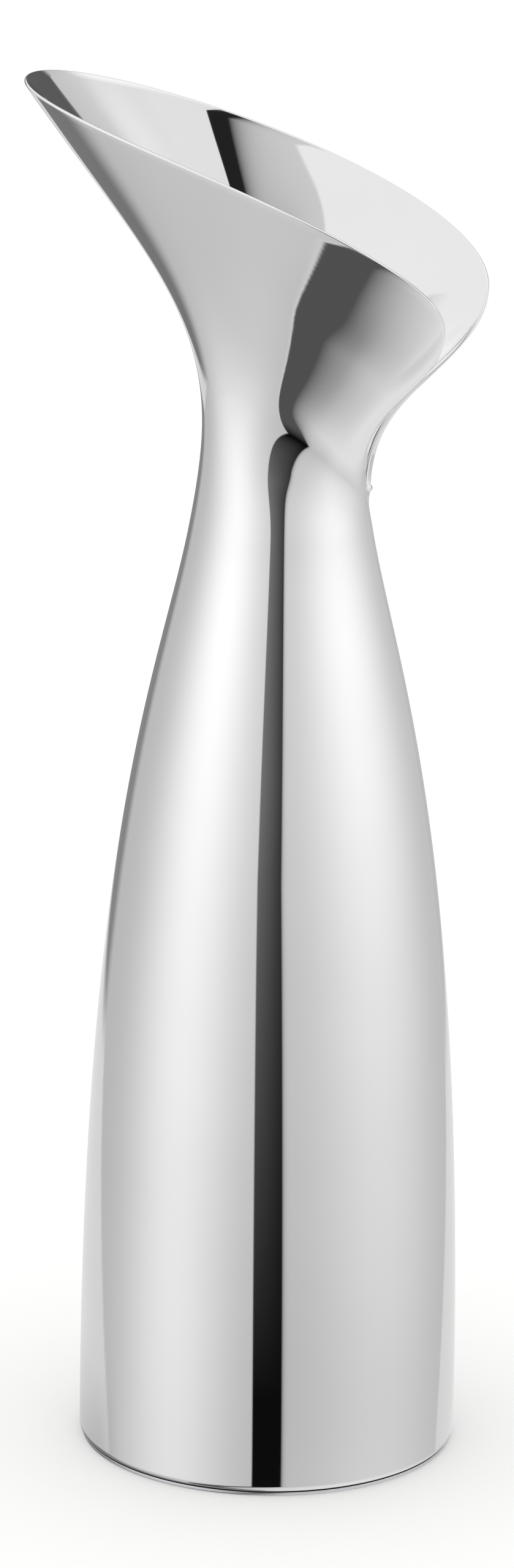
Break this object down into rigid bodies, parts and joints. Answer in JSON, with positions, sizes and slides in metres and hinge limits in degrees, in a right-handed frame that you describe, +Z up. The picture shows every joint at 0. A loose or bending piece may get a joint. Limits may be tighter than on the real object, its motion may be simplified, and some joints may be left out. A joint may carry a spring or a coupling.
{
  "type": "water carafe",
  "caption": "Tall handleless carafe of polished stainless steel: a round body drawn in to a slim neck and a flared, slanted spout with a notch at its back.",
  "frame": {"origin": "centre of the standing face, on the axis of the body", "axes": "+Z up along the body's axis; the pouring tip points to -X, the notch of the rim faces +X"},
  "size_m": [0.1067, 0.09, 0.3254],
  "materials": {
    "polished_steel": "mirror-polished stainless steel",
    "satin_steel": "finely turned stainless steel",
    "weld_steel": "cleaned weld bead"
  },
  "bodies": {
    "root": {"body_shell": "polished_steel", "spout_shell": "polished_steel", "base_plate": "satin_steel", "neck_weld": "weld_steel", "base_weld": "weld_steel"}
  },
  "joints": []
}
